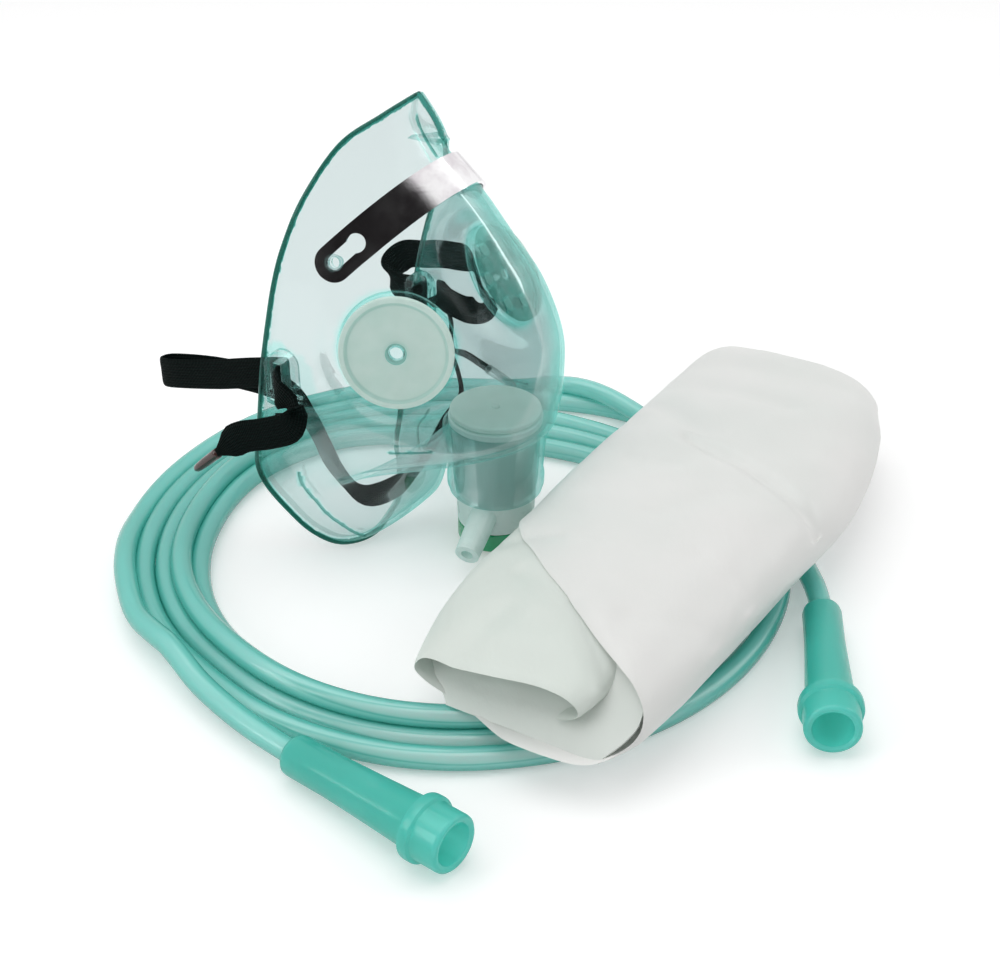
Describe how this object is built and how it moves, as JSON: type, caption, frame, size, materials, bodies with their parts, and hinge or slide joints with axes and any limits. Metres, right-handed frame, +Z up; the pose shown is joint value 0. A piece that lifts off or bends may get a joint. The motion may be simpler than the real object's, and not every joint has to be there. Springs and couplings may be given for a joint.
{
  "type": "oxygen face mask with reservoir bag and coiled tubing",
  "caption": "Clear non-rebreather oxygen face mask with valve discs, nose clip, elastic strap, folded reservoir bag and coiled oxygen tubing.",
  "frame": {"origin": "on the surface the set lies on, under the middle of the box round the mask, strap and bag", "axes": "+X along the longest extent of the mask and bag, towards the bag's far end; +Z up; the picture looks along +Y"},
  "size_m": [0.2086, 0.1974, 0.1142],
  "materials": {
    "clear_green_vinyl": "clear soft vinyl, glossy",
    "green_tubing": "translucent, glossy",
    "green_connector": "translucent, glossy",
    "white_silicone": "satin",
    "milky_plastic": "translucent, satin",
    "green_plastic": "glossy",
    "aluminium": "satin",
    "white_film": "smooth film, satin",
    "black_elastic": "woven",
    "brown_tip": "satin",
    "clear_tip": "clear"
  },
  "bodies": {
    "root": {"mask_shell": "clear_green_vinyl", "nose_clip": "aluminium", "exhalation_valve_right": "white_silicone", "exhalation_valve_left": "white_silicone", "inlet_valve_disc": "white_silicone", "inlet_connector": "milky_plastic", "bag_collar": "green_plastic", "reservoir_bag": "white_film", "head_strap": "black_elastic", "strap_tip_right": "brown_tip", "strap_tip_left": "clear_tip", "tubing_coil": "green_tubing", "tubing_lead_left": "green_tubing", "tubing_lead_right": "green_tubing", "tubing_connector_left": "green_connector", "tubing_connector_right": "green_connector"}
  },
  "joints": []
}
